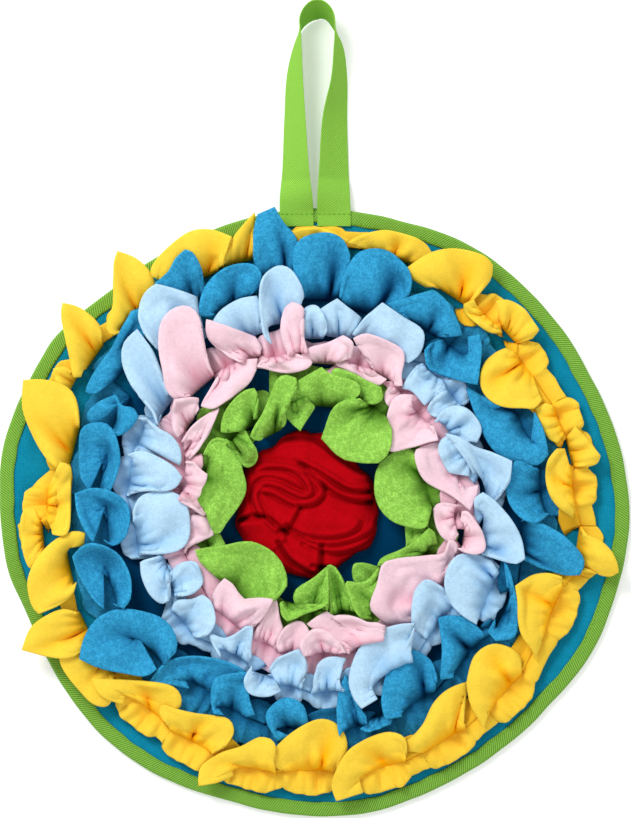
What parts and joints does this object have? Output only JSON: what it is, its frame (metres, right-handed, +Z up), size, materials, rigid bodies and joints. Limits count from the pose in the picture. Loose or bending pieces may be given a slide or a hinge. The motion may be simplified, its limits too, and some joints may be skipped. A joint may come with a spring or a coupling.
{
  "type": "round fleece snuffle mat",
  "caption": "Round fleece snuffle mat for pets: bound cloth ground, rings of gathered petals in bright colours, a folded rosette in the middle and a tape loop to hang it by.",
  "frame": {"origin": "middle of the mat on the flat underside of the ground cloth", "axes": "+Z up out of the petals, +Y from the middle of the mat to the hanging loop, +X to the right seen from above"},
  "size_m": [0.4595, 0.5943, 0.0354],
  "materials": {
    "ground_cloth": "matt plain weave",
    "binding_tape": "matt twill tape",
    "loop_tape": "matt twill tape",
    "yellow_fleece": "soft brushed fleece",
    "blue_fleece": "soft grainy fleece",
    "sky_fleece": "soft brushed fleece",
    "pink_fleece": "soft brushed fleece",
    "green_fleece": "soft grainy fleece",
    "red_fleece": "soft brushed fleece"
  },
  "bodies": {
    "root": {"base_cloth": "ground_cloth", "edge_binding": "binding_tape", "hanging_loop": "loop_tape", "petal_ring_yellow": "yellow_fleece", "petal_ring_blue": "blue_fleece", "petal_ring_sky": "sky_fleece", "petal_ring_pink": "pink_fleece", "petal_ring_green": "green_fleece", "rosette_red": "red_fleece"}
  },
  "joints": []
}
